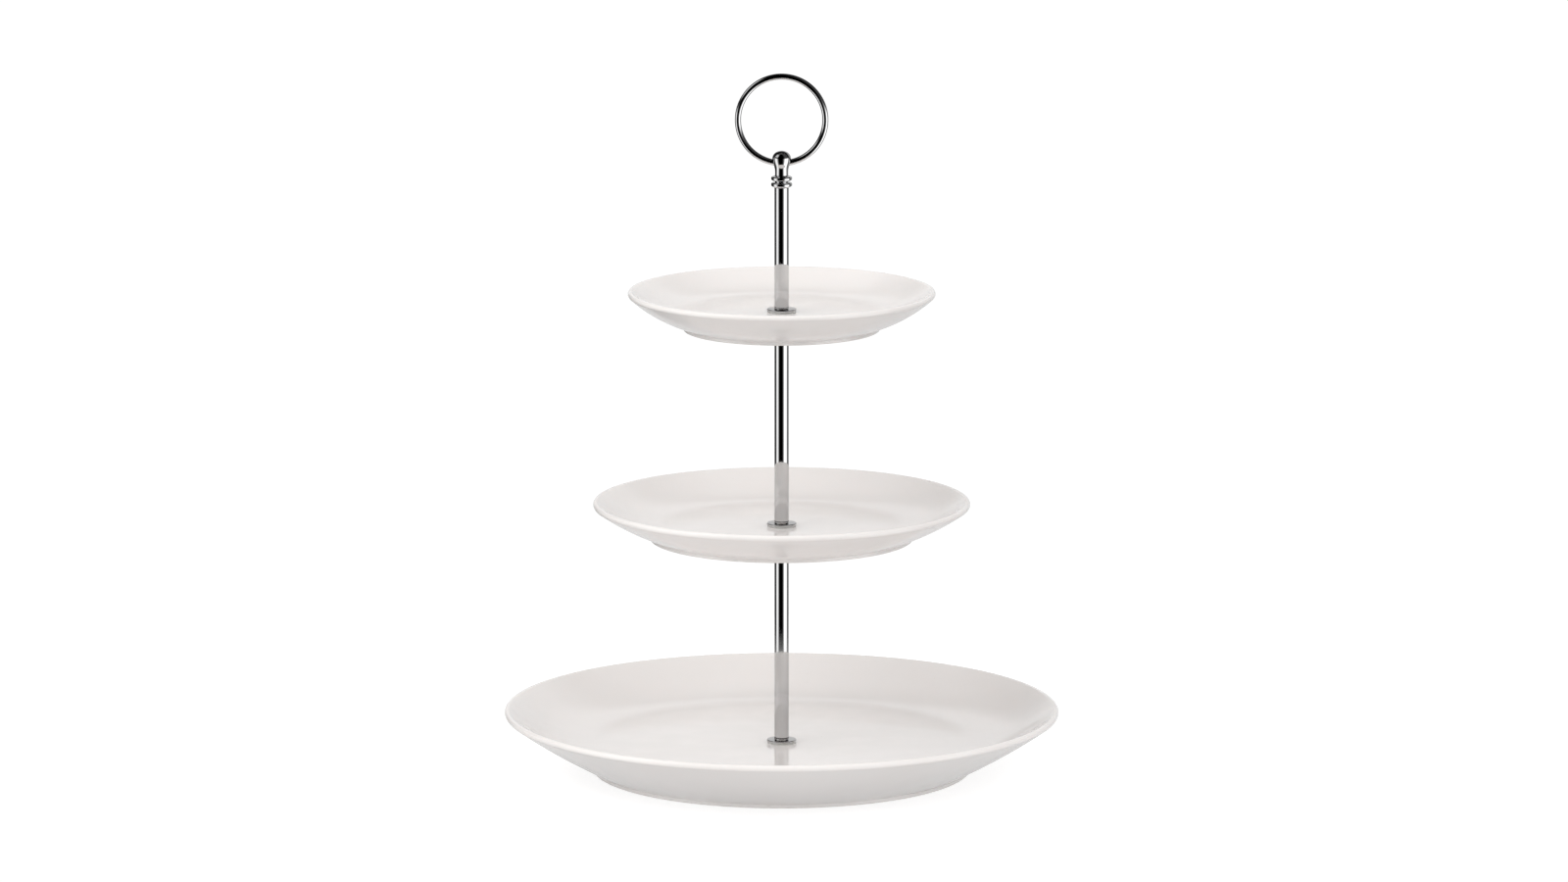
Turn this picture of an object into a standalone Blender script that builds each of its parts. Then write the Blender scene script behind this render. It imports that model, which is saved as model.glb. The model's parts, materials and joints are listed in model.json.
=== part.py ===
"""Three-tier cake stand: three glazed porcelain plates threaded on a chrome rod, with a ring to carry it by.

The rod is made of three sections. A screw under the bottom plate holds the lower section, and a threaded
stud joins each section to the next through the hole in the plate between them. Each plate is clamped
between a metal washer below it and the foot flange of the section above it, with a soft gasket on either
side of the porcelain. Everything is turned about the Z axis except the carrying ring and the screw's slot.
Metres, +Z up, the origin on the table under the rod.
"""

import math

import bmesh
import bpy
from mathutils import Matrix, Vector

MM = 0.001

# Clearances
SEAT = 0.3 * MM  # between two pieces that sit on each other
THREAD_PLAY = 0.3 * MM  # between a thread's crest and the bore around it
PORCELAIN_PLAY = 0.9 * MM  # between a metal piece's bore and the rougher hole in the porcelain

# Levels of the three tiers: the plane of each plate's foot
BOTTOM_FOOT_Z = 0.0
MIDDLE_FOOT_Z = 114.1 * MM
TOP_FOOT_Z = 217.0 * MM

# Rod and its hardware
ROD_RADIUS = 3.5 * MM
ROD_CHAMFER = 0.3 * MM
ROD_TOP_Z = 286.7 * MM
THREAD_RADIUS = 2.0 * MM
THREAD_PITCH = 0.7 * MM
ENGAGED_TURNS = 12
BORE_SPARE = 1.6 * MM  # bore depth left beyond a stud's end
HOLE_RADIUS = THREAD_RADIUS + THREAD_PLAY
PLATE_HOLE_RADIUS = HOLE_RADIUS + PORCELAIN_PLAY
FLANGE_RADIUS = 7.2 * MM
FLANGE_RIM = 0.6 * MM
FLANGE_EDGE = 0.25 * MM  # rounding of the disc's and the boss's edges
FLANGE_LEDGE = 0.6 * MM  # how far the boss stands out around the rod
FLANGE_BOSS_RADIUS = ROD_RADIUS + FLANGE_LEDGE
FLANGE_DOME = 0.1 * MM  # rise of the disc from its edge to the boss
BOSS_HEIGHT = 0.5 * MM
FLANGE_HEIGHT = FLANGE_RIM + FLANGE_DOME + BOSS_HEIGHT
GASKET_INSET = 0.3 * MM  # how far a gasket stays back from the flange's edge
GASKET_RADIUS = FLANGE_RADIUS - GASKET_INSET
GASKET_THICKNESS = 0.4 * MM
WASHER_RADIUS = 8.0 * MM
WASHER_THICKNESS = 1.0 * MM
SCREW_HEAD_RADIUS = 3.8 * MM
SCREW_HEAD_HEIGHT = 2.4 * MM
SLOT_WIDTH = 1.0 * MM
SLOT_DEPTH = 1.1 * MM

# Knob: heights are above its lower face
KNOB_COLLAR_RADIUS = 5.1 * MM
KNOB_COLLAR_HEIGHT = 1.9 * MM
KNOB_NECK_WALL = 0.9 * MM
KNOB_NECK_RADIUS = HOLE_RADIUS + KNOB_NECK_WALL
KNOB_NECK_HEIGHT = 1.1 * MM
KNOB_BALL_RADIUS = 4.5 * MM
KNOB_BALL_RISE = 3.7 * MM
KNOB_BALL_Z = 13.7 * MM
KNOB_WAIST = 2.3 * MM  # straight length between the upper collar and the swell
KNOB_BORE_DEPTH = 7.0 * MM

# Carrying ring, which passes through a cross hole in the knob
RING_RADIUS = 21.15 * MM  # to the middle of the wire
WIRE_RADIUS = 1.5 * MM
PIVOT_ABOVE_KNOB_FOOT = 11.5 * MM
WIRE_PLAY = 0.15 * MM

# Facets around each turned shape
ROUND_PLATE = {"bottom": 64, "middle": 52, "top": 48}
ROUND_ROD = 20
ROUND_FLANGE = 28
ROUND_KNOB = 24
ROUND_RING = 44
ROUND_WIRE = 10

# Each plate: all heights are above its own foot plane, and the well's edge lies well_inset inside the foot's
PLATES = {
    "bottom": {
        "foot_z": BOTTOM_FOOT_Z, "rim_radius": 135.0 * MM, "lip_radius": 1.6 * MM, "lip_z": 28.4 * MM,
        "well_z": 12.8 * MM, "well_inset": 2.2 * MM, "floor": 5.0 * MM, "foot_radius": 92.2 * MM,
        "foot_width": 5.5 * MM, "belly": 1.0 * MM,
    },
    "middle": {
        "foot_z": MIDDLE_FOOT_Z, "rim_radius": 91.6 * MM, "lip_radius": 1.5 * MM, "lip_z": 17.0 * MM,
        "well_z": 6.1 * MM, "well_inset": 8.2 * MM, "floor": 3.6 * MM, "foot_radius": 64.2 * MM,
        "foot_width": 4.6 * MM, "belly": 1.0 * MM,
    },
    "top": {
        "foot_z": TOP_FOOT_Z, "rim_radius": 74.5 * MM, "lip_radius": 1.5 * MM, "lip_z": 17.5 * MM,
        "well_z": 8.6 * MM, "well_inset": 3.8 * MM, "floor": 4.0 * MM, "foot_radius": 47.8 * MM,
        "foot_width": 4.2 * MM, "belly": 1.7 * MM,
    },
}
FOOT_RISE = 1.8 * MM  # upright edge of a foot ring, below the sloping wall
FOOT_ROUND = 0.6 * MM
WALL_STEPS = 5
LIP_STEPS = 4
SEAT_MARGIN = 1.8 * MM  # width of the flat that shows around a flange
SEAT_PAD_RADIUS = FLANGE_RADIUS + SEAT_MARGIN


def material(name, colour, roughness, metallic):
    made = bpy.data.materials.new(name)
    made.use_nodes = True
    shader = made.node_tree.nodes["Principled BSDF"]
    shader.inputs["Base Color"].default_value = (*colour, 1.0)
    shader.inputs["Roughness"].default_value = roughness
    shader.inputs["Metallic"].default_value = metallic
    return made


def finish(name, bm, surface, parent, origin):
    """Turns bm into an object with its origin at the point given, shaded smooth except at sharp edges."""
    bmesh.ops.recalc_face_normals(bm, faces=bm.faces)
    bmesh.ops.translate(bm, verts=bm.verts, vec=-Vector(origin))
    mesh = bpy.data.meshes.new(name)
    bm.to_mesh(mesh)
    bm.free()
    mesh.shade_smooth()
    mesh.set_sharp_from_angle(angle=math.radians(35))
    mesh.materials.append(surface)
    obj = bpy.data.objects.new(name, mesh)
    bpy.context.scene.collection.objects.link(obj)
    obj.parent = parent
    obj.location = Vector(origin) - (parent.location if parent else Vector())
    return obj


def turned(name, outline, facets, surface, parent=None, base_z=0.0):
    """A solid turned about Z from its closed outline of (radius, height above base_z) points."""
    bm = bmesh.new()
    points = [bm.verts.new((radius, 0, base_z + height)) for radius, height in outline]
    edges = [bm.edges.new((a, b)) for a, b in zip(points, points[1:])]
    if outline[0][0] > 0:
        edges.append(bm.edges.new((points[-1], points[0])))
    bmesh.ops.spin(
        bm, geom=points + edges, cent=(0, 0, 0), axis=(0, 0, 1), angle=math.tau, steps=facets, use_merge=True
    )
    bmesh.ops.remove_doubles(bm, verts=bm.verts, dist=1e-6)
    return finish(name, bm, surface, parent, (0, 0, base_z))


def bezier(start, start_handle, end_handle, end, steps):
    """Points of a cubic curve, without its first."""
    found = []
    for step in range(1, steps + 1):
        t = step / steps
        s = 1 - t
        weights = (s**3, 3 * s * s * t, 3 * s * t * t, t**3)
        corners = (start, start_handle, end_handle, end)
        found.append(tuple(sum(w * c[axis] for w, c in zip(weights, corners)) for axis in (0, 1)))
    return found


def plate_outline(p):
    """The section of a plate: flat well, wall rising to a rounded lip, foot ring and recessed base."""
    lip_at = (p["rim_radius"] - p["lip_radius"], p["lip_z"])
    foot_top = (p["foot_radius"], FOOT_RISE)
    slope = math.atan2(lip_at[1] - foot_top[1], lip_at[0] - foot_top[0])
    along = Vector((math.cos(slope), math.sin(slope)))
    outward = Vector((along.y, -along.x))

    def lip_point(turn):
        return (lip_at[0] + p["lip_radius"] * math.cos(turn), lip_at[1] + p["lip_radius"] * math.sin(turn))

    first = slope + math.pi / 2
    lip = [lip_point(first - math.pi * step / LIP_STEPS) for step in range(LIP_STEPS + 1)]
    inner_end = Vector(lip[0])
    well_edge = (p["foot_radius"] - p["well_inset"], p["well_z"])
    reach = (inner_end - Vector(well_edge)).length
    inner = bezier(
        well_edge, (well_edge[0] + 0.45 * reach, p["well_z"]), tuple(inner_end - along * 0.4 * reach),
        lip[0], WALL_STEPS,
    )
    wall = []
    for step in range(1, WALL_STEPS):
        t = step / WALL_STEPS
        bulge = 4 * t * (1 - t) * p["belly"]
        wall.append(tuple(Vector(lip[-1]).lerp(Vector(foot_top), t) + outward * bulge))
    foot_inside = p["foot_radius"] - p["foot_width"]
    base_z = p["well_z"] - p["floor"]
    return (
        [(PLATE_HOLE_RADIUS, p["well_z"]), (SEAT_PAD_RADIUS, p["well_z"]), well_edge]
        + inner + lip[1:] + wall
        + [foot_top, (p["foot_radius"], FOOT_ROUND), (p["foot_radius"] - FOOT_ROUND, 0)]
        + [(foot_inside + FOOT_ROUND, 0), (foot_inside, FOOT_ROUND), (foot_inside - FOOT_ROUND, base_z)]
        + [(PLATE_HOLE_RADIUS, base_z)]
    )


def ring_outline(inside, outside, height):
    return [(inside, 0), (outside, 0), (outside, height), (inside, height)]


def flange_outline():
    """A thin disc with a rounded edge, rising a little to the boss that the rod stands on."""
    edge = FLANGE_EDGE
    shoulder_z = FLANGE_RIM + FLANGE_DOME
    return [
        (HOLE_RADIUS, 0), (FLANGE_RADIUS - edge / 2, 0), (FLANGE_RADIUS, edge), (FLANGE_RADIUS, FLANGE_RIM - edge),
        (FLANGE_RADIUS - edge, FLANGE_RIM), (FLANGE_BOSS_RADIUS, shoulder_z),
        (FLANGE_BOSS_RADIUS, FLANGE_HEIGHT - edge), (FLANGE_BOSS_RADIUS - edge, FLANGE_HEIGHT),
        (HOLE_RADIUS, FLANGE_HEIGHT),
    ]


def rod_outline(length):
    """A rod section, solid between the two bores that take the studs."""
    bore = ENGAGED + BORE_SPARE
    return [
        (0, bore), (HOLE_RADIUS, bore), (HOLE_RADIUS, 0), (ROD_RADIUS - ROD_CHAMFER, 0), (ROD_RADIUS, ROD_CHAMFER),
        (ROD_RADIUS, length - ROD_CHAMFER), (ROD_RADIUS - ROD_CHAMFER, length), (HOLE_RADIUS, length),
        (HOLE_RADIUS, length - bore), (0, length - bore),
    ]


def stud_outline(length):
    point = 0.4 * MM
    return [
        (0, 0), (THREAD_RADIUS - point, 0), (THREAD_RADIUS, point), (THREAD_RADIUS, length - point),
        (THREAD_RADIUS - point, length), (0, length),
    ]


def knob_outline():
    """Two collars with a neck between them, then a waist that swells into the ball. The bore is from below."""
    upper_collar = KNOB_COLLAR_HEIGHT + KNOB_NECK_HEIGHT
    waist = upper_collar + KNOB_COLLAR_HEIGHT
    swell_foot = waist + KNOB_WAIST
    rise = KNOB_BALL_Z - swell_foot
    soft = 0.4 * MM

    def collar(foot):
        top = foot + KNOB_COLLAR_HEIGHT
        return [
            (KNOB_COLLAR_RADIUS - soft, foot), (KNOB_COLLAR_RADIUS, foot + soft),
            (KNOB_COLLAR_RADIUS, top - soft), (KNOB_COLLAR_RADIUS - soft, top),
        ]

    swell = bezier(
        (KNOB_NECK_RADIUS, swell_foot), (KNOB_NECK_RADIUS, swell_foot + 0.4 * rise),
        (KNOB_BALL_RADIUS, KNOB_BALL_Z - 0.46 * rise), (KNOB_BALL_RADIUS, KNOB_BALL_Z), 5,
    )
    dome_steps = 5
    dome = [
        (
            KNOB_BALL_RADIUS * math.cos(math.pi / 2 * step / dome_steps),
            KNOB_BALL_Z + KNOB_BALL_RISE * math.sin(math.pi / 2 * step / dome_steps),
        )
        for step in range(1, dome_steps)
    ]
    return (
        [(0, KNOB_BORE_DEPTH), (HOLE_RADIUS, KNOB_BORE_DEPTH), (HOLE_RADIUS, 0)]
        + collar(0)
        + [(KNOB_NECK_RADIUS, KNOB_COLLAR_HEIGHT), (KNOB_NECK_RADIUS, upper_collar)]
        + collar(upper_collar)
        + [(KNOB_NECK_RADIUS, waist), (KNOB_NECK_RADIUS, swell_foot)]
        + swell + dome + [(0, KNOB_BALL_Z + KNOB_BALL_RISE)]
    )


def helper(obj):
    """Marks obj as a cutter, which isn't a piece of the stand."""
    obj.hide_render = True
    obj.display_type = "WIRE"
    return obj


def cut(obj, cutter):
    modifier = obj.modifiers.new("Cut", "BOOLEAN")
    modifier.operation = "DIFFERENCE"
    modifier.solver = "EXACT"
    modifier.object = helper(cutter)


def cross_bore(name, radius, reach, centre):
    """A cylinder along X."""
    bm = bmesh.new()
    bmesh.ops.create_cone(
        bm, cap_ends=True, segments=ROUND_KNOB, radius1=radius, radius2=radius, depth=2 * reach,
        matrix=Matrix.Translation(centre) @ Matrix.Rotation(math.pi / 2, 4, "Y"),
    )
    return finish(name, bm, chrome, None, centre)


def carrying_ring(name, pivot, surface, parent):
    """A closed ring of round wire in the XZ plane, with its lowest point in the knob and its origin on the pivot."""
    bm = bmesh.new()
    sag = wire_sag()
    circle = bmesh.ops.create_circle(
        bm, segments=ROUND_WIRE, radius=WIRE_RADIUS,
        matrix=Matrix.Translation((0, 0, -RING_RADIUS)) @ Matrix.Rotation(math.pi / 2, 4, "Y"),
    )["verts"]
    edges = list({edge for vert in circle for edge in vert.link_edges})
    bmesh.ops.spin(
        bm, geom=circle + edges, cent=(0, 0, 0), axis=(0, 1, 0), angle=math.tau, steps=ROUND_RING, use_merge=True
    )
    bmesh.ops.remove_doubles(bm, verts=bm.verts, dist=1e-6)
    bmesh.ops.translate(bm, verts=bm.verts, vec=Vector(pivot) + Vector((0, 0, RING_RADIUS - sag / 2)))
    return finish(name, bm, surface, parent, pivot)


def wire_sag():
    """How far the ring's wire curves up between the middle of the knob and its side."""
    return RING_RADIUS - math.sqrt(RING_RADIUS**2 - KNOB_BALL_RADIUS**2)


def empty(name, z):
    made = bpy.data.objects.new(name, None)
    made.location = (0, 0, z)
    bpy.context.scene.collection.objects.link(made)
    return made


for old in list(bpy.data.objects):
    bpy.data.objects.remove(old, do_unlink=True)

ENGAGED = ENGAGED_TURNS * THREAD_PITCH

porcelain = material("white glazed porcelain", (0.86, 0.84, 0.82), 0.12, 0.0)
chrome = material("polished chrome", (0.80, 0.80, 0.80), 0.06, 1.0)
steel = material("zinc plated steel", (0.62, 0.62, 0.61), 0.30, 1.0)
clear_plastic = material("clear soft plastic", (0.82, 0.82, 0.80), 0.35, 0.0)

# The stack at each plate, from the gasket on the porcelain up to the foot of the rod section above it
gasket_z = {}
flange_z = {}
section_z = {}
base_z = {}
for tier, p in PLATES.items():
    gasket_z[tier] = p["foot_z"] + p["well_z"] + SEAT
    flange_z[tier] = gasket_z[tier] + GASKET_THICKNESS + SEAT
    section_z[tier] = flange_z[tier] + FLANGE_HEIGHT + SEAT
    base_z[tier] = p["foot_z"] + p["well_z"] - p["floor"]

# The stack below each plate, from the porcelain down to the washer's lower face
under_gasket_z = {tier: z - SEAT - GASKET_THICKNESS for tier, z in base_z.items()}
under_washer_z = {tier: z - SEAT - WASHER_THICKNESS for tier, z in under_gasket_z.items()}
section_top_z = {
    "bottom": under_washer_z["middle"] - SEAT,
    "middle": under_washer_z["top"] - SEAT,
    "top": ROD_TOP_Z,
}

sections = {tier: empty(f"{tier} section", section_z[tier]) for tier in PLATES}
carried_by = {"bottom": None, "middle": sections["bottom"], "top": sections["middle"]}
rod_names = {"bottom": "rod_lower", "middle": "rod_middle", "top": "rod_upper"}

for tier, p in PLATES.items():
    carrier = carried_by[tier]
    turned(f"plate_{tier}", plate_outline(p), ROUND_PLATE[tier], porcelain, carrier, p["foot_z"])
    turned(
        f"gasket_over_{tier}", ring_outline(HOLE_RADIUS, GASKET_RADIUS, GASKET_THICKNESS), ROUND_ROD,
        clear_plastic, sections[tier], gasket_z[tier],
    )
    turned(
        f"gasket_under_{tier}", ring_outline(HOLE_RADIUS, GASKET_RADIUS, GASKET_THICKNESS), ROUND_ROD,
        clear_plastic, carrier, under_gasket_z[tier],
    )
    turned(
        f"washer_under_{tier}", ring_outline(HOLE_RADIUS, WASHER_RADIUS, WASHER_THICKNESS), ROUND_ROD,
        steel, carrier, under_washer_z[tier],
    )
    turned(f"flange_{tier}", flange_outline(), ROUND_FLANGE, chrome, sections[tier], flange_z[tier])
    length = section_top_z[tier] - section_z[tier]
    turned(rod_names[tier], rod_outline(length), ROUND_ROD, chrome, sections[tier], section_z[tier])

# Base screw: a slotted pan head under the bottom plate's washer, its shank up into the lower section
head_top = under_washer_z["bottom"] - SEAT
head_foot = head_top - SCREW_HEAD_HEIGHT
shank_end = section_z["bottom"] + ENGAGED
screw = turned(
    "base_screw",
    [
        (0, 0), (0.75 * SCREW_HEAD_RADIUS, 0), (0.95 * SCREW_HEAD_RADIUS, 0.25 * SCREW_HEAD_HEIGHT),
        (SCREW_HEAD_RADIUS, 0.55 * SCREW_HEAD_HEIGHT), (SCREW_HEAD_RADIUS, SCREW_HEAD_HEIGHT),
        (THREAD_RADIUS, SCREW_HEAD_HEIGHT), (THREAD_RADIUS, shank_end - head_foot - 0.4 * MM),
        (THREAD_RADIUS - 0.4 * MM, shank_end - head_foot), (0, shank_end - head_foot),
    ],
    ROUND_ROD, steel, None, head_foot,
)
slot = bmesh.new()
bmesh.ops.create_cube(
    slot, size=1.0,
    matrix=Matrix.Translation((0, 0, head_foot))
    @ Matrix.Diagonal((3 * SCREW_HEAD_RADIUS, SLOT_WIDTH, 2 * SLOT_DEPTH, 1)),
)
cut(screw, finish("screw slot", slot, steel, None, (0, 0, head_foot)))

# Studs between the sections: each is fixed in the section above and turns in the one below
for name, below, above in (("stud_middle", "bottom", "middle"), ("stud_upper", "middle", "top")):
    foot = section_top_z[below] - ENGAGED
    turned(
        name, stud_outline(section_z[above] + ENGAGED - foot), ROUND_ROD, steel, sections[above], foot,
    )

# Knob on top of the upper section, with its own stud, and the ring through it
knob_foot = ROD_TOP_Z + SEAT
stud_foot = ROD_TOP_Z - ENGAGED
turned(
    "stud_knob", stud_outline(knob_foot + KNOB_BORE_DEPTH - SEAT - stud_foot), ROUND_ROD, steel,
    sections["top"], stud_foot,
)
pivot = Vector((0, 0, knob_foot + PIVOT_ABOVE_KNOB_FOOT))
knob = turned("knob", knob_outline(), ROUND_KNOB, chrome, sections["top"], knob_foot)
cross_radius = WIRE_RADIUS + wire_sag() / 2 + WIRE_PLAY
cut(knob, cross_bore("ring bore", cross_radius, 2 * KNOB_BALL_RADIUS, pivot))
carrying_ring("carrying_ring", pivot, chrome, sections["top"])
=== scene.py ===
"""Looks of the three-tier cake stand: glazed porcelain plates on a chrome rod with a carrying ring."""
import json
import math

import bmesh
import bpy
from mathutils import Matrix, Vector


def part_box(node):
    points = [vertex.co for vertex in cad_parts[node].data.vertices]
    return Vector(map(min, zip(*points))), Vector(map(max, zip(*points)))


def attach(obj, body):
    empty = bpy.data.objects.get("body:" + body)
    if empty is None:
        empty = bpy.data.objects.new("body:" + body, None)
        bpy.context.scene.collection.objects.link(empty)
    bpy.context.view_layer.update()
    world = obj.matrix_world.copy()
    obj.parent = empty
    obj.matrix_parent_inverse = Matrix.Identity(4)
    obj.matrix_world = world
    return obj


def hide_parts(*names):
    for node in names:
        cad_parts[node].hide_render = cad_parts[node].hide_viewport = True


MM = 0.001

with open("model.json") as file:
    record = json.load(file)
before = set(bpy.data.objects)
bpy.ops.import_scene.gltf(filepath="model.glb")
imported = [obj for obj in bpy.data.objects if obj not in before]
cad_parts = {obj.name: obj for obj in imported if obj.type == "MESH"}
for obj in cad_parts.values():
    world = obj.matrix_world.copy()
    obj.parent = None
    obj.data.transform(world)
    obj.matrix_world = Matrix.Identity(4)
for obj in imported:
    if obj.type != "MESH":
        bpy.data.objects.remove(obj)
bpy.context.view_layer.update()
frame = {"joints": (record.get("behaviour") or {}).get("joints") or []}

# Sizes that the frame's boxes don't give. Where the CAD model has the same one, this is close to it.
THREAD_RADIUS = 1.98 * MM
THREAD_PITCH = 0.7 * MM
THREAD_DEPTH = 0.43 * MM
THREAD_RUN_OUT = 0.35 * MM  # how much thinner a threaded end is than the crests
ROD_BORE = 2.25 * MM
BORE_DEPTH = 10.0 * MM
CLEAR_HOLE = 2.3 * MM  # radius of the hole in a gasket, washer, flange or knob
WIRE_RADIUS = 1.5 * MM
CROSS_BORE = 1.88 * MM  # radius of the knob's hole for the ring
CAD_GAP = 0.3 * MM  # what the CAD model leaves between seated solids
ON_AXIS = 1e-9  # a radius as small as this is on the axis
TOUCH = 0.02 * MM  # gap between pieces that press on each other
FLANGE_DROP = 0.26 * MM  # how far a flange's underside reaches down to its squeezed gasket
ROD_LAP = 0.07 * MM  # how far a rod's foot stops short of filling the gap under it

# How many sides each turned shape has
PLATE_SIDES = 256
METAL_SIDES = 128
SEAT_SIDES = 96
THREAD_SIDES = 40

PLATES = {
    "bottom": {
        "lip_radius": 1.6 * MM, "lip_z": 28.4 * MM, "well_z": 12.8 * MM, "well_inset": 2.2 * MM,
        "floor": 5.0 * MM, "foot_radius": 92.15 * MM, "foot_width": 5.5 * MM, "belly": 0.95 * MM,
    },
    "middle": {
        "lip_radius": 1.5 * MM, "lip_z": 17.0 * MM, "well_z": 6.1 * MM, "well_inset": 8.2 * MM,
        "floor": 3.6 * MM, "foot_radius": 64.15 * MM, "foot_width": 4.6 * MM, "belly": 0.95 * MM,
    },
    "top": {
        "lip_radius": 1.5 * MM, "lip_z": 17.5 * MM, "well_z": 8.6 * MM, "well_inset": 3.8 * MM,
        "floor": 4.0 * MM, "foot_radius": 47.75 * MM, "foot_width": 4.2 * MM, "belly": 1.65 * MM,
    },
}
PLATE_HOLE = 3.2 * MM
FOOT_RISE = 1.8 * MM
SECTION_BODY = {"bottom": "lower_section", "middle": "middle_section", "top": "upper_section"}
PLATE_BODY = {"bottom": "base", "middle": "lower_section", "top": "middle_section"}
SEAT_BODY = {"bottom": "lower_seat", "middle": "middle_seat", "top": "upper_seat"}
ROD = {"bottom": "rod_lower", "middle": "rod_middle", "top": "rod_upper"}


# ---------------------------------------------------------------- materials

class Nodes:
    """Short calls for building the node tree of a material or a world."""

    def __init__(self, owner):
        owner.use_nodes = True
        self.owner = owner
        self.tree = owner.node_tree
        self.shader = self.tree.nodes.get("Principled BSDF")

    def add(self, kind, **settings):
        node = self.tree.nodes.new(kind)
        for key, value in settings.items():
            setattr(node, key, value)
        return node

    def link(self, source, target):
        self.tree.links.new(source, target)

    def set(self, **values):
        for key, value in values.items():
            self.shader.inputs[key.replace("_", " ")].default_value = value

    def coordinates(self):
        return self.add("ShaderNodeTexCoord").outputs["Object"]

    def noise(self, where, scale, detail=4.0, roughness=0.5):
        node = self.add("ShaderNodeTexNoise")
        node.inputs["Scale"].default_value = scale
        node.inputs["Detail"].default_value = detail
        node.inputs["Roughness"].default_value = roughness
        self.link(where, node.inputs["Vector"])
        return node.outputs["Fac"]

    def stretch(self, where, scale):
        node = self.add("ShaderNodeMapping")
        node.inputs["Scale"].default_value = scale
        self.link(where, node.inputs["Vector"])
        return node.outputs["Vector"]

    def ramp(self, factor, stops):
        node = self.add("ShaderNodeValToRGB")
        ramp = node.color_ramp
        while len(ramp.elements) < len(stops):
            ramp.elements.new(0.5)
        for element, (place, colour) in zip(ramp.elements, stops):
            element.position = place
            element.color = (*colour, 1.0)
        self.link(factor, node.inputs["Fac"])
        return node.outputs["Color"]

    def between(self, factor, low, high, from_low=0.0, from_high=1.0, smooth=False):
        node = self.add("ShaderNodeMapRange")
        node.interpolation_type = "SMOOTHSTEP" if smooth else "LINEAR"
        ends = {"From Min": from_low, "From Max": from_high, "To Min": low, "To Max": high}
        for key, value in ends.items():
            node.inputs[key].default_value = value
        self.link(factor, node.inputs["Value"])
        return node.outputs["Result"]

    def math(self, operation, *values):
        node = self.add("ShaderNodeMath", operation=operation)
        for index, value in enumerate(values):
            if isinstance(value, (int, float)):
                node.inputs[index].default_value = value
            else:
                self.link(value, node.inputs[index])
        return node.outputs["Value"]

    def mix(self, factor, a, b):
        node = self.add("ShaderNodeMix", data_type="RGBA")
        self.link(factor, node.inputs["Factor"])
        for socket, value in ((node.inputs[6], a), (node.inputs[7], b)):
            if isinstance(value, tuple):
                socket.default_value = (*value, 1.0)
            else:
                self.link(value, socket)
        return node.outputs[2]

    def mix_shaders(self, factor, a, b):
        node = self.add("ShaderNodeMixShader")
        for index, value in enumerate((factor, a, b)):
            self.link(value, node.inputs[index])
        return node.outputs["Shader"]

    def bump(self, height, strength, distance, under=None):
        node = self.add("ShaderNodeBump")
        node.inputs["Strength"].default_value = strength
        node.inputs["Distance"].default_value = distance
        self.link(height, node.inputs["Height"])
        if under is not None:
            self.link(under, node.inputs["Normal"])
        return node.outputs["Normal"]


def porcelain(name, foot_z):
    """Warm white porcelain under a clear glaze. The foot's standing edge and the drilled hole are bare."""
    n = Nodes(bpy.data.materials.new(name))
    where = n.coordinates()
    axes = n.add("ShaderNodeSeparateXYZ")
    n.link(where, axes.inputs["Vector"])
    cloud = n.noise(where, 14.0, 3.0)
    body = n.ramp(cloud, [(0.30, (0.795, 0.765, 0.752)), (0.70, (0.822, 0.795, 0.785))])
    speck = n.noise(where, 900.0, 2.0, 0.4)
    speck_mask = n.between(speck, 0.0, 0.35, 0.74, 0.82, smooth=True)
    body = n.mix(speck_mask, body, (0.55, 0.50, 0.45))
    ragged = n.math("MULTIPLY", n.noise(where, 380.0, 3.0), 0.35 * MM)
    height = n.math("SUBTRACT", n.math("SUBTRACT", axes.outputs["Z"], foot_z), ragged)
    bare = n.between(height, 1.0, 0.0, 0.02 * MM, 0.14 * MM, smooth=True)
    squares = n.math("ADD", n.math("POWER", axes.outputs["X"], 2.0), n.math("POWER", axes.outputs["Y"], 2.0))
    radius = n.math("POWER", squares, 0.5)
    in_hole = n.between(radius, 1.0, 0.0, PLATE_HOLE + 0.05 * MM, PLATE_HOLE + 0.3 * MM, smooth=True)
    bare = n.math("MAXIMUM", bare, in_hole)
    biscuit_grain = n.noise(where, 1600.0, 3.0)
    biscuit = n.ramp(biscuit_grain, [(0.3, (0.60, 0.57, 0.53)), (0.7, (0.72, 0.69, 0.65))])
    n.link(n.mix(bare, body, biscuit), n.shader.inputs["Base Color"])
    satin = n.between(n.noise(where, 60.0, 2.0), 0.16, 0.24, 0.3, 0.7)
    n.link(n.math("MAXIMUM", satin, n.math("MULTIPLY", bare, 0.75)), n.shader.inputs["Roughness"])
    n.link(n.between(bare, 0.65, 0.0), n.shader.inputs["Coat Weight"])
    ripple = n.bump(n.noise(where, 55.0, 2.0), 0.10, 0.06 * MM)
    n.link(n.bump(biscuit_grain, 0.04, 0.05 * MM, ripple), n.shader.inputs["Normal"])
    n.link(ripple, n.shader.inputs["Coat Normal"])
    n.set(IOR=1.5, Coat_Roughness=0.03, Coat_IOR=1.5, Specular_IOR_Level=0.35)
    n.set(Subsurface_Weight=0.06, Subsurface_Radius=(0.004, 0.0032, 0.0028), Subsurface_Scale=1.0)
    return n.owner


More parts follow.
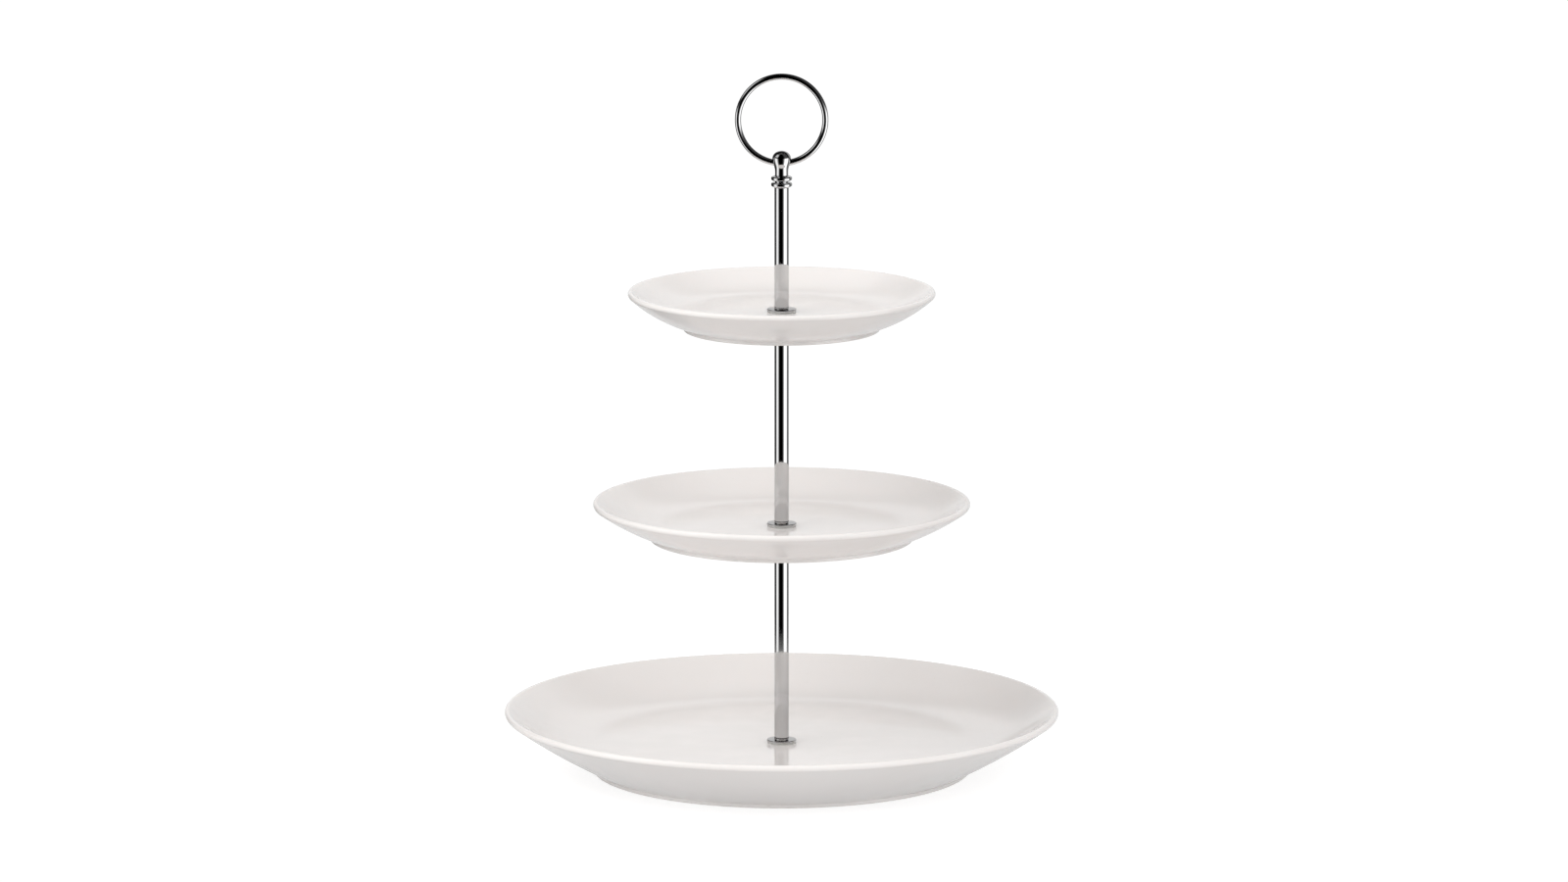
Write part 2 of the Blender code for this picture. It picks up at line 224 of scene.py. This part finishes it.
def chrome(name):
    """Bright chrome plate with faint polishing lines round it and a few fine wiping marks."""
    n = Nodes(bpy.data.materials.new(name))
    where = n.coordinates()
    n.link(n.ramp(n.noise(where, 40.0, 3.0), [(0.3, (0.60, 0.60, 0.61)), (0.7, (0.66, 0.66, 0.655))]),
           n.shader.inputs["Base Color"])
    lines = n.noise(n.stretch(where, (20.0, 20.0, 2600.0)), 1.0, 4.0, 0.6)
    wipes = n.noise(n.stretch(where, (500.0, 500.0, 30.0)), 1.0, 3.0, 0.6)
    wiped = n.between(wipes, 0.0, 0.05, 0.62, 0.80, smooth=True)
    n.link(n.math("ADD", n.between(lines, 0.025, 0.055), wiped), n.shader.inputs["Roughness"])
    n.link(n.bump(lines, 0.02, 0.01 * MM), n.shader.inputs["Normal"])
    n.set(Metallic=1.0, Specular_Tint=(0.85, 0.85, 0.85, 1))
    return n.owner


def zinc(name):
    """Bright zinc plate: duller, a little blue, with turned marks and grey tarnish in patches."""
    n = Nodes(bpy.data.materials.new(name))
    where = n.coordinates()
    tone = n.ramp(n.noise(where, 260.0, 4.0), [(0.25, (0.50, 0.51, 0.53)), (0.75, (0.70, 0.70, 0.69))])
    n.link(tone, n.shader.inputs["Base Color"])
    turned_marks = n.noise(n.stretch(where, (60.0, 60.0, 4200.0)), 1.0, 3.0)
    n.link(n.math("ADD", n.between(turned_marks, 0.20, 0.34), n.between(n.noise(where, 500.0), 0.0, 0.12)),
           n.shader.inputs["Roughness"])
    n.link(n.bump(turned_marks, 0.25, 0.02 * MM), n.shader.inputs["Normal"])
    n.set(Metallic=1.0)
    return n.owner


def clear_gasket(name):
    """Soft milky plastic that lets some light through, with a fine moulded grain."""
    n = Nodes(bpy.data.materials.new(name))
    where = n.coordinates()
    n.link(n.ramp(n.noise(where, 300.0, 3.0), [(0.3, (0.70, 0.70, 0.68)), (0.7, (0.80, 0.80, 0.78))]),
           n.shader.inputs["Base Color"])
    grain = n.noise(where, 4000.0, 2.0)
    n.link(n.between(grain, 0.28, 0.42), n.shader.inputs["Roughness"])
    n.link(n.bump(grain, 0.15, 0.02 * MM), n.shader.inputs["Normal"])
    n.set(IOR=1.43, Transmission_Weight=0.35)
    n.set(Subsurface_Weight=0.2, Subsurface_Radius=(0.002, 0.002, 0.002))
    return n.owner


CHROME = chrome("chrome plate")
ZINC = zinc("zinc plate")
GASKET = clear_gasket("clear gasket")


# ---------------------------------------------------------------- shapes

def show(name, bm, surface, body, replaced, sharp=40):
    """Makes bm a smooth-shaded piece that rides on a body and stands for a CAD node."""
    bmesh.ops.recalc_face_normals(bm, faces=bm.faces)
    mesh = bpy.data.meshes.new(name)
    bm.to_mesh(mesh)
    bm.free()
    mesh.shade_smooth()
    mesh.set_sharp_from_angle(angle=math.radians(sharp))
    mesh.materials.append(surface)
    obj = bpy.data.objects.new(name, mesh)
    bpy.context.scene.collection.objects.link(obj)
    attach(obj, body)
    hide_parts(replaced)
    return obj


def circle(bm, radius, z, segments):
    """A ring of vertices about Z."""
    turns = [math.tau * k / segments for k in range(segments)]
    return [bm.verts.new((radius * math.cos(turn), radius * math.sin(turn), z)) for turn in turns]


def lathe(outline, segments):
    """A solid turned about Z from its closed outline of (radius, z) points."""
    bm = bmesh.new()
    rings = []
    for radius, z in outline:
        on_axis = radius <= ON_AXIS
        rings.append([bm.verts.new((0, 0, z))] if on_axis else circle(bm, radius, z, segments))
    pairs = list(zip(rings, rings[1:]))
    if outline[0][0] > ON_AXIS:
        pairs.append((rings[-1], rings[0]))
    for low, high in pairs:
        if len(low) == 1 and len(high) == 1:
            continue
        for k in range(segments):
            j = (k + 1) % segments
            corners = [low[k % len(low)], low[j % len(low)], high[j % len(high)], high[k % len(high)]]
            bm.faces.new(list(dict.fromkeys(corners)))
    return bm


def bezier(a, b, c, d, steps):
    """Points of a cubic curve, without its first."""
    found = []
    for step in range(1, steps + 1):
        t = step / steps
        s = 1 - t
        weights = (s**3, 3 * s * s * t, 3 * s * t * t, t**3)
        corners = list(zip(weights, (a, b, c, d)))
        found.append(tuple(sum(weight * point[axis] for weight, point in corners) for axis in (0, 1)))
    return found


def rounded(points, radii, steps=5):
    """An outline with its corners rounded; a radius of 0 leaves a corner as it is. The outline is closed."""
    found = []
    count = len(points)
    for i, (corner, radius) in enumerate(zip(points, radii)):
        if radius == 0:
            found.append(corner)
            continue
        here = Vector(corner)
        before = (Vector(points[i - 1]) - here).normalized()
        after = (Vector(points[(i + 1) % count]) - here).normalized()
        half = before.angle(after) / 2
        reach = radius / math.tan(half)
        start, end = here + before * reach, here + after * reach
        for step in range(steps + 1):
            t = step / steps
            found.append(tuple(start.lerp(here, t).lerp(here.lerp(end, t), t)))
    return found


def plate_outline(tier, rim, foot_z):
    """A plate's closed outline: well, inner wall, round lip, bowed outer wall, foot ring and underside."""
    p = PLATES[tier]
    lip = (rim - p["lip_radius"], p["lip_z"])
    foot_top = (p["foot_radius"], FOOT_RISE)
    slope = math.atan2(lip[1] - foot_top[1], lip[0] - foot_top[0])
    along = Vector((math.cos(slope), math.sin(slope)))
    outward = Vector((along.y, -along.x))
    first = slope + math.pi / 2
    well_steps, lip_steps, wall_steps, flat_steps = 32, 16, 28, 6
    edge = []
    for step in range(lip_steps + 1):
        turn = first - math.pi * step / lip_steps
        edge.append((lip[0] + p["lip_radius"] * math.cos(turn), lip[1] + p["lip_radius"] * math.sin(turn)))
    well_edge = (p["foot_radius"] - p["well_inset"], p["well_z"])
    inner_end = Vector(edge[0])
    reach = (inner_end - Vector(well_edge)).length
    inner = bezier(well_edge, (well_edge[0] + 0.45 * reach, p["well_z"]),
                   tuple(inner_end - along * 0.4 * reach), edge[0], well_steps)
    wall = []
    for step in range(1, wall_steps):
        t = step / wall_steps
        bulge = 4 * t * (1 - t) * p["belly"]
        wall.append(tuple(Vector(edge[-1]).lerp(Vector(foot_top), t) + outward * bulge))
    base_z = p["well_z"] - p["floor"]
    inside = p["foot_radius"] - p["foot_width"]
    foot = rounded(
        [wall[-1], foot_top, (p["foot_radius"], 0), (inside, 0), (inside - 1.0 * MM, base_z),
         (PLATE_HOLE, base_z), (PLATE_HOLE, p["well_z"]), well_edge],
        [0, 0.5 * MM, 0.7 * MM, 0.8 * MM, 1.2 * MM, 0.25 * MM, 0.35 * MM, 0],
    )
    flat = [(well_edge[0] * k / flat_steps, p["well_z"]) for k in range(2, flat_steps)]
    outline = [well_edge] + inner + edge[1:] + wall[:-1] + foot[:-1] + flat
    return [(radius, foot_z + height) for radius, height in outline]


def make_plate(tier):
    low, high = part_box(f"plate_{tier}")
    bm = lathe(plate_outline(tier, high.x, low.z), PLATE_SIDES)
    glaze = porcelain(f"porcelain {tier}", low.z)
    show(f"plate_{tier}_glazed", bm, glaze, PLATE_BODY[tier], f"plate_{tier}", 50)


def make_gasket(node, body):
    """A soft washer that swells a little where it is squeezed, filling the space between its neighbours."""
    low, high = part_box(node)
    spare = CAD_GAP - TOUCH
    bottom, top = low.z - spare, high.z + spare
    if "over" in node:
        top -= FLANGE_DROP
    height = top - bottom
    bulge, bulge_steps = 0.25 * MM, 8
    shoulder = high.x - bulge
    outline = [(CLEAR_HOLE, bottom), (shoulder, bottom)]
    for step in range(1, bulge_steps):
        turn = -math.pi / 2 + math.pi * step / bulge_steps
        outline.append((shoulder + bulge * math.cos(turn), bottom + height * (0.5 + 0.5 * math.sin(turn))))
    outline += [(shoulder, top), (CLEAR_HOLE, top)]
    show(f"{node}_soft", lathe(outline, SEAT_SIDES), GASKET, body, node)


def make_washer(tier):
    node = f"washer_under_{tier}"
    low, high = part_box(node)
    outline = rounded(
        [(CLEAR_HOLE, low.z), (high.x, low.z), (high.x, high.z), (CLEAR_HOLE, high.z)],
        [0.12 * MM, 0.25 * MM, 0.12 * MM, 0.12 * MM],
    )
    show(f"{node}_plated", lathe(outline, SEAT_SIDES), ZINC, PLATE_BODY[tier], node)


def make_flange(tier):
    """A thin flat disc with a full round edge, and a small fillet up to the rod that stands on it."""
    node = f"flange_{tier}"
    low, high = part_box(node)
    radius, bottom = high.x, low.z - FLANGE_DROP
    disc_top = low.z + 0.60 * MM
    rod_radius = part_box(ROD[tier])[1].x
    collar, collar_top = rod_radius + 0.03 * MM, high.z + 0.05 * MM
    points = [
        (CLEAR_HOLE, bottom), (radius, bottom), (radius, disc_top),
        (rod_radius + 0.75 * MM, disc_top + 0.04 * MM), (collar, disc_top + 0.10 * MM),
        (collar, collar_top), (CLEAR_HOLE, collar_top),
    ]
    radii = [0, 0.36 * MM, 0.42 * MM, 0, 0.42 * MM, 0, 0]
    outline = rounded(points, radii, 8)
    show(f"{node}_polished", lathe(outline, METAL_SIDES), CHROME, SECTION_BODY[tier], node)


def make_rod(tier):
    """A plain round rod with small rounded edges and a blind bore in each end."""
    node = ROD[tier]
    low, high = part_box(node)
    radius = high.x
    bottom, top = low.z - CAD_GAP + ROD_LAP, high.z
    points = [
        (0, bottom + BORE_DEPTH), (ROD_BORE, bottom + BORE_DEPTH), (ROD_BORE, bottom), (radius, bottom),
        (radius, top), (ROD_BORE, top), (ROD_BORE, top - BORE_DEPTH), (0, top - BORE_DEPTH),
    ]
    radii = [0, 0, 0.15 * MM, 0.2 * MM, 0.35 * MM, 0.15 * MM, 0, 0]
    outline = rounded(points, radii, 5)
    show(f"{node}_polished", lathe(outline, METAL_SIDES), CHROME, SECTION_BODY[tier], node)


def thread_radius(angle, z, first, last):
    """Radius of a right-hand thread's surface at an angle and height, fading out at both ends."""
    wave = (z / THREAD_PITCH - angle / math.tau) % 1.0
    crest = min(1.0, max(0.0, 1.6 * abs(2 * wave - 1) - 0.3))
    fade = min(1.0, (z - first) / THREAD_PITCH, (last - z) / THREAD_PITCH)
    return THREAD_RADIUS - THREAD_DEPTH * (1 - crest) * max(0.0, fade) - THREAD_RUN_OUT * max(0.0, 1 - fade)


def threaded_rows(bm, first, last, per_turn=10):
    """Rings of vertices up a thread."""
    count = round((last - first) / THREAD_PITCH * per_turn)
    rings = []
    for row in range(count + 1):
        z = first + (last - first) * row / count
        ring = []
        for k in range(THREAD_SIDES):
            angle = math.tau * k / THREAD_SIDES
            radius = thread_radius(angle, z, first, last)
            ring.append(bm.verts.new((radius * math.cos(angle), radius * math.sin(angle), z)))
        rings.append(ring)
    return rings


def bridge(bm, rings):
    """Joins each ring of vertices to the next, and closes both ends."""
    segments = len(rings[0])
    for low, high in zip(rings, rings[1:]):
        for k in range(segments):
            j = (k + 1) % segments
            bm.faces.new((low[k], low[j], high[j], high[k]))
    bm.faces.new(list(reversed(rings[0])))
    bm.faces.new(rings[-1])


def make_stud(node, body):
    low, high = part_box(node)
    bm = bmesh.new()
    bridge(bm, threaded_rows(bm, low.z, high.z))
    show(f"{node}_threaded", bm, ZINC, body, node, 60)


def make_base_screw():
    """Pan head with a slot, and a threaded shank above a short plain neck."""
    low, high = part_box("base_screw")
    head, head_height = high.x, 2.4 * MM
    head_top, neck_length = low.z + head_height, 0.4 * MM
    slot_width, slot_depth = 1.0 * MM, 1.1 * MM
    bm = bmesh.new()
    profile = [(0.0001 * MM, low.z), (0.55 * head, low.z + 0.03 * MM), (0.78 * head, low.z + 0.2 * MM),
               (0.92 * head, low.z + 0.55 * MM), (0.985 * head, low.z + 1.0 * MM), (head, low.z + 1.5 * MM),
               (head, head_top - 0.15 * MM), (head - 0.15 * MM, head_top),
               (THREAD_RADIUS - 0.1 * MM, head_top)]
    rings = [circle(bm, radius, z, THREAD_SIDES) for radius, z in profile]
    bridge(bm, rings + threaded_rows(bm, head_top + neck_length, high.z))
    screw = show("base_screw_threaded", bm, ZINC, "base", "base_screw", 40)
    slot = bmesh.new()
    size = Matrix.Diagonal((3 * head, slot_width, 2 * slot_depth, 1))
    bmesh.ops.create_cube(slot, size=1.0, matrix=Matrix.Translation((0, 0, low.z)) @ size)
    cut(screw, slot, "screw slot cutter")


def cut(obj, bm, name):
    """Takes bm's solid out of obj and applies the cut."""
    mesh = bpy.data.meshes.new(name)
    bm.to_mesh(mesh)
    bm.free()
    cutter = bpy.data.objects.new(name, mesh)
    bpy.context.scene.collection.objects.link(cutter)
    modifier = obj.modifiers.new("Cut", "BOOLEAN")
    modifier.operation = "DIFFERENCE"
    modifier.solver = "EXACT"
    modifier.object = cutter
    with bpy.context.temp_override(object=obj, active_object=obj, selected_objects=[obj]):
        bpy.ops.object.modifier_apply(modifier=modifier.name)
    bpy.data.objects.remove(cutter, do_unlink=True)


def make_knob():
    """Two collars, a waist and a swell up to a ball, with a cross hole for the ring."""
    low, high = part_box("knob")
    pivot_z = frame_joint("ring_tilt")["pos_m"][2]
    foot = low.z - CAD_GAP + TOUCH
    z = low.z
    collar, neck, ball, dome = high.x, 3.2 * MM, 4.5 * MM, 3.7 * MM
    bore_top = z + 7.0 * MM
    upper = z + 3.0 * MM
    waist = upper + 1.9 * MM
    swell_foot, ball_z = waist + 2.3 * MM, z + 13.7 * MM
    rise = ball_z - swell_foot
    points = [
        (0, bore_top), (CLEAR_HOLE, bore_top), (CLEAR_HOLE, foot), (collar - 0.9 * MM, foot),
        (collar, z + 0.35 * MM), (collar, z + 1.55 * MM), (collar - 0.5 * MM, z + 1.9 * MM),
        (neck, z + 2.1 * MM), (neck, upper - 0.2 * MM), (collar - 0.5 * MM, upper),
        (collar, upper + 0.35 * MM), (collar, waist - 0.35 * MM), (collar - 0.6 * MM, waist),
        (neck, waist + 0.25 * MM), (neck, swell_foot),
    ]
    radii = [0, 0, 0.1 * MM, 0.4 * MM, 0.6 * MM, 0.5 * MM, 0.3 * MM, 0.3 * MM,
             0.3 * MM, 0.3 * MM, 0.5 * MM, 0.5 * MM, 0.4 * MM, 0.6 * MM, 0]
    outline = rounded(points, radii, 5)
    outline += bezier((neck, swell_foot), (neck, swell_foot + 0.4 * rise), (ball, ball_z - 0.46 * rise),
                      (ball, ball_z), 16)
    dome_steps = 15
    for step in range(1, dome_steps):
        turn = math.pi / 2 * step / dome_steps
        outline.append((ball * math.cos(turn), ball_z + dome * math.sin(turn)))
    outline.append((0, ball_z + dome))
    knob = show("knob_polished", lathe(outline, METAL_SIDES), CHROME, "upper_section", "knob", 40)
    bore = bmesh.new()
    across = Matrix.Translation((0, 0, pivot_z)) @ Matrix.Rotation(math.pi / 2, 4, "Y")
    bmesh.ops.create_cone(bore, cap_ends=True, segments=64, radius1=CROSS_BORE, radius2=CROSS_BORE,
                          depth=20 * MM, matrix=across)
    cut(knob, bore, "cross bore cutter")
    knob.data.shade_smooth()
    knob.data.set_sharp_from_angle(angle=math.radians(40))


def frame_joint(name):
    return next(joint for joint in frame["joints"] if joint["name"] == name)


def make_ring():
    """A closed round ring of round wire, upright in the plane of the cross hole."""
    low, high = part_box("carrying_ring")
    outer = (high.z - low.z) / 2
    centre_z = (high.z + low.z) / 2
    middle = outer - WIRE_RADIUS
    bm = bmesh.new()
    around, across = 192, 32
    rings = []
    for k in range(around):
        turn = math.tau * k / around
        out = Vector((math.sin(turn), 0, -math.cos(turn)))
        ring = []
        for j in range(across):
            roll = math.tau * j / across
            sideways = Vector((0, WIRE_RADIUS * math.sin(roll), 0))
            reach = out * (middle + WIRE_RADIUS * math.cos(roll)) + sideways
            ring.append(bm.verts.new(reach + Vector((0, 0, centre_z))))
        rings.append(ring)
    for a, b in zip(rings, rings[1:] + rings[:1]):
        for j in range(across):
            i = (j + 1) % across
            bm.faces.new((a[j], a[i], b[i], b[j]))
    show("carrying_ring_polished", bm, CHROME, "handle", "carrying_ring")


for tier in PLATES:
    make_plate(tier)
    make_gasket(f"gasket_over_{tier}", SEAT_BODY[tier])
    make_gasket(f"gasket_under_{tier}", PLATE_BODY[tier])
    make_washer(tier)
    make_flange(tier)
    make_rod(tier)
make_stud("stud_middle", "middle_section")
make_stud("stud_upper", "upper_section")
make_stud("stud_knob", "upper_section")
make_base_screw()
make_knob()
make_ring()


# ---------------------------------------------------------------- studio

FLOOR_RADIUS = 0.38
FLOOR_FADES_FROM = 0.15  # how far from the middle the floor starts to fade in polished metal
FLOOR_FAINT = 0.35  # and how much of it is missing there before that
FLOOR_GLOW, FLOOR_GLOW_SEEN = 0.34, 0.72  # as it lights the stand, and as the camera sees it


def make_floor():
    """A pale round table top. It fades with distance in polished metal, and the camera sees it only from
    above, so that the stand's underside can be looked at."""
    n = Nodes(bpy.data.materials.new("pale table"))
    where = n.coordinates()
    n.link(n.ramp(n.noise(where, 9.0, 4.0), [(0.3, (0.40, 0.40, 0.40)), (0.7, (0.42, 0.42, 0.42))]),
           n.shader.inputs["Base Color"])
    n.set(Roughness=0.9, Specular_IOR_Level=0.1, Emission_Color=(1, 1, 1, 1))
    path = n.add("ShaderNodeLightPath")
    seen = path.outputs["Is Camera Ray"]
    n.link(n.between(seen, FLOOR_GLOW, FLOOR_GLOW_SEEN), n.shader.inputs["Emission Strength"])
    distance = n.add("ShaderNodeVectorMath", operation="LENGTH")
    n.link(where, distance.inputs[0])
    away = distance.outputs["Value"]
    faded = n.between(away, FLOOR_FAINT, 1.0, FLOOR_FADES_FROM, FLOOR_RADIUS, smooth=True)
    beneath = n.math("MULTIPLY", n.add("ShaderNodeNewGeometry").outputs["Backfacing"], seen)
    hidden = n.math("MAXIMUM", n.math("MULTIPLY", faded, path.outputs["Is Glossy Ray"]), beneath)
    clear = n.add("ShaderNodeBsdfTransparent").outputs["BSDF"]
    n.link(n.mix_shaders(hidden, n.shader.outputs["BSDF"], clear),
           n.tree.nodes["Material Output"].inputs["Surface"])
    bm = bmesh.new()
    bmesh.ops.create_circle(bm, cap_ends=True, segments=128, radius=FLOOR_RADIUS)
    mesh = bpy.data.meshes.new("floor")
    bm.to_mesh(mesh)
    bm.free()
    mesh.materials.append(n.owner)
    floor = bpy.data.objects.new("floor", mesh)
    floor.location = (0, 0, -0.0001)
    bpy.context.scene.collection.objects.link(floor)


# The tent as a mirror sees it all round: degrees from the front, to the right, and how bright it is there
AROUND = [
    (-180, 0.74), (-168, 0.72), (-162, 0.35), (-155, 0.05), (-112, 0.02), (-102, 0.10), (-92, 0.50),
    (-84, 1.40), (-62, 1.40), (-52, 0.50), (-42, 0.05), (-36, 0.0), (10, 0.0), (22, 0.08), (34, 0.65),
    (44, 1.90), (82, 1.90), (94, 0.35), (106, 0.10), (118, 0.30), (145, 0.50), (164, 0.72), (180, 0.74),
]
BAND_TOP = (-4, 12)  # degrees above level over which those strips end
BAND_REST = 0.04  # and how much of them is left above
BACK = (100 / 360, 125 / 360)  # turns from the front over which the back starts
BACK_RISE = 30.0  # how many degrees higher the strips end at the back
SOFTBOX_SIDES = (-110 / 360, -95 / 360, -60 / 360, -45 / 360)  # turns: where its light starts, is full, ends
SOFTBOX_FOOT, SOFTBOX_TOP = (15, 30), (52, 66)  # degrees above level
SOFTBOX_LIGHT = 0.8

# The tent as it lights what isn't a mirror: how bright it is from straight down (0) to straight up (1)
UPWARDS = [(0.0, 0.38), (0.42, 0.47), (0.52, 0.96), (0.62, 1.50), (0.80, 1.46), (0.93, 0.72), (1.0, 0.46)]
FRONT_SHARE = 0.15  # how much brighter it is in front than at the sides, and darker behind
RIGHT_SHARE = -0.05  # and how much brighter on the right than in the middle
TENT_COLOUR = (1.0, 0.995, 0.985, 1)
SEEN_WHITE = 1.05  # the tent as the camera sees it


def make_world():
    """A white light tent. The camera sees it plain white and it lights matt surfaces softly, but a mirror
    sees strips of light and dark all round, and a softbox on the left. It all stays put when the camera
    moves."""
    n = Nodes(bpy.data.worlds.new("light tent"))
    bpy.context.scene.world = n.owner
    n.owner.cycles.sampling_method = "NONE"
    n.tree.nodes.clear()

    def step_up(value, low, high, a=0.0, b=1.0):
        return n.between(value, a, b, low, high, smooth=True)

    def lit_from(factor, stops):
        return n.ramp(factor, [(place, (light, light, light)) for place, light in stops])

    def background(strength, colour=(1, 1, 1, 1)):
        node = n.add("ShaderNodeBackground")
        node.inputs["Color"].default_value = colour
        if isinstance(strength, float):
            node.inputs["Strength"].default_value = strength
        else:
            n.link(strength, node.inputs["Strength"])
        return node.outputs["Background"]

    axes = n.add("ShaderNodeSeparateXYZ")
    n.link(n.add("ShaderNodeTexCoord").outputs["Generated"], axes.inputs["Vector"])
    x, y, z = (axes.outputs[i] for i in range(3))
    # azimuth in turns from -0.5 to 0.5: 0 towards the front, positive to the right
    azimuth = n.math("DIVIDE", n.math("ARCTAN2", x, n.math("MULTIPLY", y, -1.0)), math.tau)
    height = n.math("DIVIDE", n.math("ARCSINE", z), math.tau / 360)
    strips = [((degrees + 180) / 360, light) for degrees, light in AROUND]
    around = lit_from(n.math("ADD", azimuth, 0.5), strips)
    behind = step_up(n.math("ABSOLUTE", azimuth), *BACK)
    above_band = n.math("MULTIPLY_ADD", behind, -BACK_RISE, height)
    band = n.math("MULTIPLY", around, step_up(above_band, *BAND_TOP, 1.0, BAND_REST))
    left_side, right_side = SOFTBOX_SIDES[:2], SOFTBOX_SIDES[2:]
    softbox = n.math("MULTIPLY", step_up(azimuth, *left_side), step_up(azimuth, *right_side, 1, 0))
    softbox = n.math("MULTIPLY", softbox, step_up(height, *SOFTBOX_TOP, 1.0, 0.0))
    softbox = n.math("MULTIPLY", softbox, n.math("MULTIPLY", step_up(height, *SOFTBOX_FOOT), SOFTBOX_LIGHT))

    frontal = n.math("MULTIPLY_ADD", x, RIGHT_SHARE, n.math("MULTIPLY_ADD", y, -FRONT_SHARE, 1.0))
    soft_light = n.math("MULTIPLY", lit_from(n.math("MULTIPLY_ADD", z, 0.5, 0.5), UPWARDS), frontal)
    soft = background(soft_light, TENT_COLOUR)
    mirrored = background(n.math("MAXIMUM", band, softbox))
    path = n.add("ShaderNodeLightPath")
    lit = n.mix_shaders(path.outputs["Is Glossy Ray"], soft, mirrored)
    shown = n.mix_shaders(path.outputs["Is Camera Ray"], lit, background(SEEN_WHITE))
    n.link(shown, n.add("ShaderNodeOutputWorld").inputs["Surface"])


def make_light(name, place, size, power, look_at=(0, 0, 0.12)):
    """A soft rectangular lamp that neither the camera nor a mirror sees."""
    light = bpy.data.lights.new(name, "AREA")
    light.shape = "RECTANGLE"
    light.size, light.size_y = size
    light.energy = power
    light.color = (1.0, 0.985, 0.965)
    obj = bpy.data.objects.new(name, light)
    obj.location = place
    obj.rotation_euler = (Vector(look_at) - Vector(place)).to_track_quat("-Z", "Y").to_euler()
    obj.visible_camera = False
    obj.visible_glossy = False
    bpy.context.scene.collection.objects.link(obj)


CAMERA_PLACE = (0, -4.65, 1.007)
CAMERA_TILT = 10.2986  # degrees below level
CAMERA_LENS = 223.74
CAMERA_SHIFT = 0.0015  # the stand is a little left of the picture's middle


def make_camera():
    """A long lens 4.65 m away and 1 m up, which sees the plates from about 9 to 12 degrees above level."""
    camera = bpy.data.cameras.new("camera")
    camera.sensor_width = 36.0
    camera.lens = CAMERA_LENS
    camera.shift_x = CAMERA_SHIFT
    camera.clip_start = 0.1
    camera.clip_end = 100.0
    obj = bpy.data.objects.new("camera", camera)
    obj.location = CAMERA_PLACE
    obj.rotation_euler = (math.radians(90 - CAMERA_TILT), 0, 0)
    bpy.context.scene.collection.objects.link(obj)
    bpy.context.scene.camera = obj


make_floor()
make_world()
make_light("overhead softbox", (0.1, -0.2, 1.5), (1.2, 1.0), 0.8)
make_light("key softbox", (-0.81, -0.47, 1.02), (0.5, 0.5), 3.2)
make_camera()
bpy.context.scene.view_settings.view_transform = "Standard"
